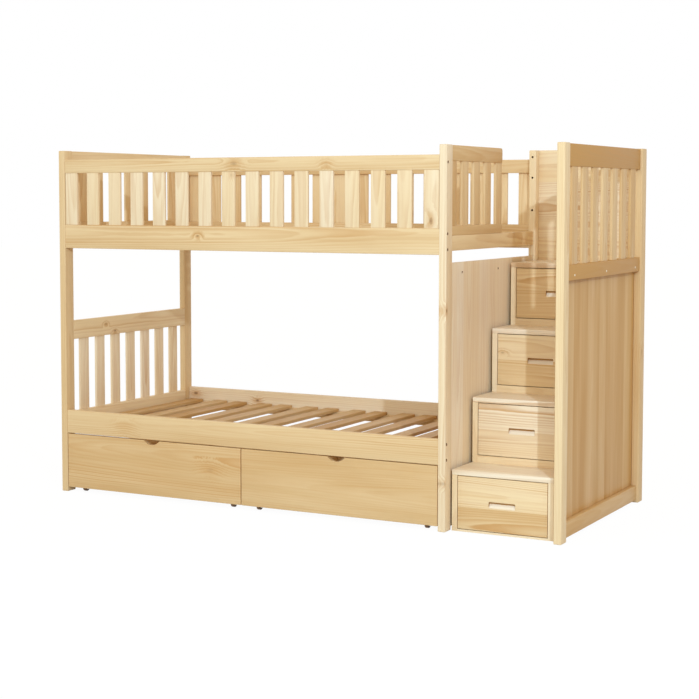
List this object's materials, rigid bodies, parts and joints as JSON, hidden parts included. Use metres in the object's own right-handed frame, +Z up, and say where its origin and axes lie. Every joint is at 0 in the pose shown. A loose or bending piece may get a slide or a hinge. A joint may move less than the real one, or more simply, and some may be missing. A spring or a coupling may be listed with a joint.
{
  "type": "bunk bed with storage stairs",
  "caption": "Wooden bunk bed with slatted guards, a staircase of drawers at one end and wheeled storage boxes under the lower bed.",
  "frame": {"origin": "on the floor under the middle of the footprint", "axes": "+X along the bed towards the stair end, -Y towards the open side that the steps and drawers face, +Z up"},
  "size_m": [2.512, 1.084, 1.62],
  "materials": {
    "pine": "clear satin lacquer",
    "zinc_steel": "zinc plated",
    "wheel_plastic": "moulded"
  },
  "bodies": {
    "bed": {"post_front_left": "pine", "post_back_left": "pine", "post_front_right": "pine", "post_back_right": "pine", "outer_post_front": "pine", "outer_post_back": "pine", "upper_front_top_rail": "pine", "upper_front_slats": "pine", "upper_front_side_rail": "pine", "upper_back_top_rail": "pine", "upper_back_slats": "pine", "upper_back_side_rail": "pine", "lower_front_side_rail": "pine", "lower_back_side_rail": "pine", "upper_left_top_rail": "pine", "upper_left_slats": "pine", "upper_left_bottom_rail": "pine", "headboard_top_rail": "pine", "headboard_slats": "pine", "headboard_bottom_rail": "pine", "upper_right_end_rail": "pine", "half_guard_top_rail": "pine", "half_guard_slats": "pine", "half_guard_bottom_rail": "pine", "right_base_rail": "pine", "right_end_panel": "pine", "outer_top_rail": "pine", "outer_end_slats": "pine", "outer_middle_rail": "pine", "outer_base_rail": "pine", "upper_bed_slats": "pine", "lower_bed_slats": "pine", "bed_slat_cleats": "pine", "stair_side_stepped": "pine", "stair_side_panel": "pine", "stair_back_board": "pine", "stair_treads": "pine", "stair_face_frames": "pine", "stair_runners": "pine"},
    "drawer_1": {"drawer_1_front": "pine", "drawer_1_box": "pine"},
    "drawer_2": {"drawer_2_front": "pine", "drawer_2_box": "pine"},
    "drawer_3": {"drawer_3_front": "pine", "drawer_3_box": "pine"},
    "drawer_4": {"drawer_4_front": "pine", "drawer_4_box": "pine"},
    "left_box": {"left_box_front": "pine", "left_box_shell": "pine", "left_box_forks": "zinc_steel"},
    "left_box_front_wheels": {"left_box_front_wheels": "wheel_plastic"},
    "left_box_back_wheels": {"left_box_back_wheels": "wheel_plastic"},
    "right_box": {"right_box_front": "pine", "right_box_shell": "pine", "right_box_forks": "zinc_steel"},
    "right_box_front_wheels": {"right_box_front_wheels": "wheel_plastic"},
    "right_box_back_wheels": {"right_box_back_wheels": "wheel_plastic"}
  },
  "joints": [
    {"name": "drawer_1_slide", "type": "slide", "parent": "bed", "child": "drawer_1", "axis": [0, -1, 0], "range_m": [0, 0.86]},
    {"name": "drawer_2_slide", "type": "slide", "parent": "bed", "child": "drawer_2", "axis": [0, -1, 0], "range_m": [0, 0.645]},
    {"name": "drawer_3_slide", "type": "slide", "parent": "bed", "child": "drawer_3", "axis": [0, -1, 0], "range_m": [0, 0.43]},
    {"name": "drawer_4_slide", "type": "slide", "parent": "bed", "child": "drawer_4", "axis": [0, -1, 0], "range_m": [0, 0.215]},
    {"name": "left_box_roll", "type": "slide", "parent": "bed", "child": "left_box", "axis": [0, -1, 0], "range_m": [0, 0.8]},
    {"name": "left_box_front_wheels_turn", "type": "hinge", "parent": "left_box", "child": "left_box_front_wheels", "pos_m": [-0.7385, -0.4885, 0.018], "axis": [1, 0, 0], "continuous": true},
    {"name": "left_box_back_wheels_turn", "type": "hinge", "parent": "left_box", "child": "left_box_back_wheels", "pos_m": [-0.7385, 0.2795, 0.018], "axis": [1, 0, 0], "continuous": true},
    {"name": "right_box_roll", "type": "slide", "parent": "bed", "child": "right_box", "axis": [0, -1, 0], "range_m": [0, 0.8]},
    {"name": "right_box_front_wheels_turn", "type": "hinge", "parent": "right_box", "child": "right_box_front_wheels", "pos_m": [0.2265, -0.4885, 0.018], "axis": [1, 0, 0], "continuous": true},
    {"name": "right_box_back_wheels_turn", "type": "hinge", "parent": "right_box", "child": "right_box_back_wheels", "pos_m": [0.2265, 0.2795, 0.018], "axis": [1, 0, 0], "continuous": true}
  ],
  "couplings": [
    {"joint": "left_box_front_wheels_turn", "follows": "left_box_roll", "rad_per_m": 55.556},
    {"joint": "left_box_back_wheels_turn", "follows": "left_box_roll", "rad_per_m": 55.556},
    {"joint": "right_box_front_wheels_turn", "follows": "right_box_roll", "rad_per_m": 55.556},
    {"joint": "right_box_back_wheels_turn", "follows": "right_box_roll", "rad_per_m": 55.556}
  ]
}
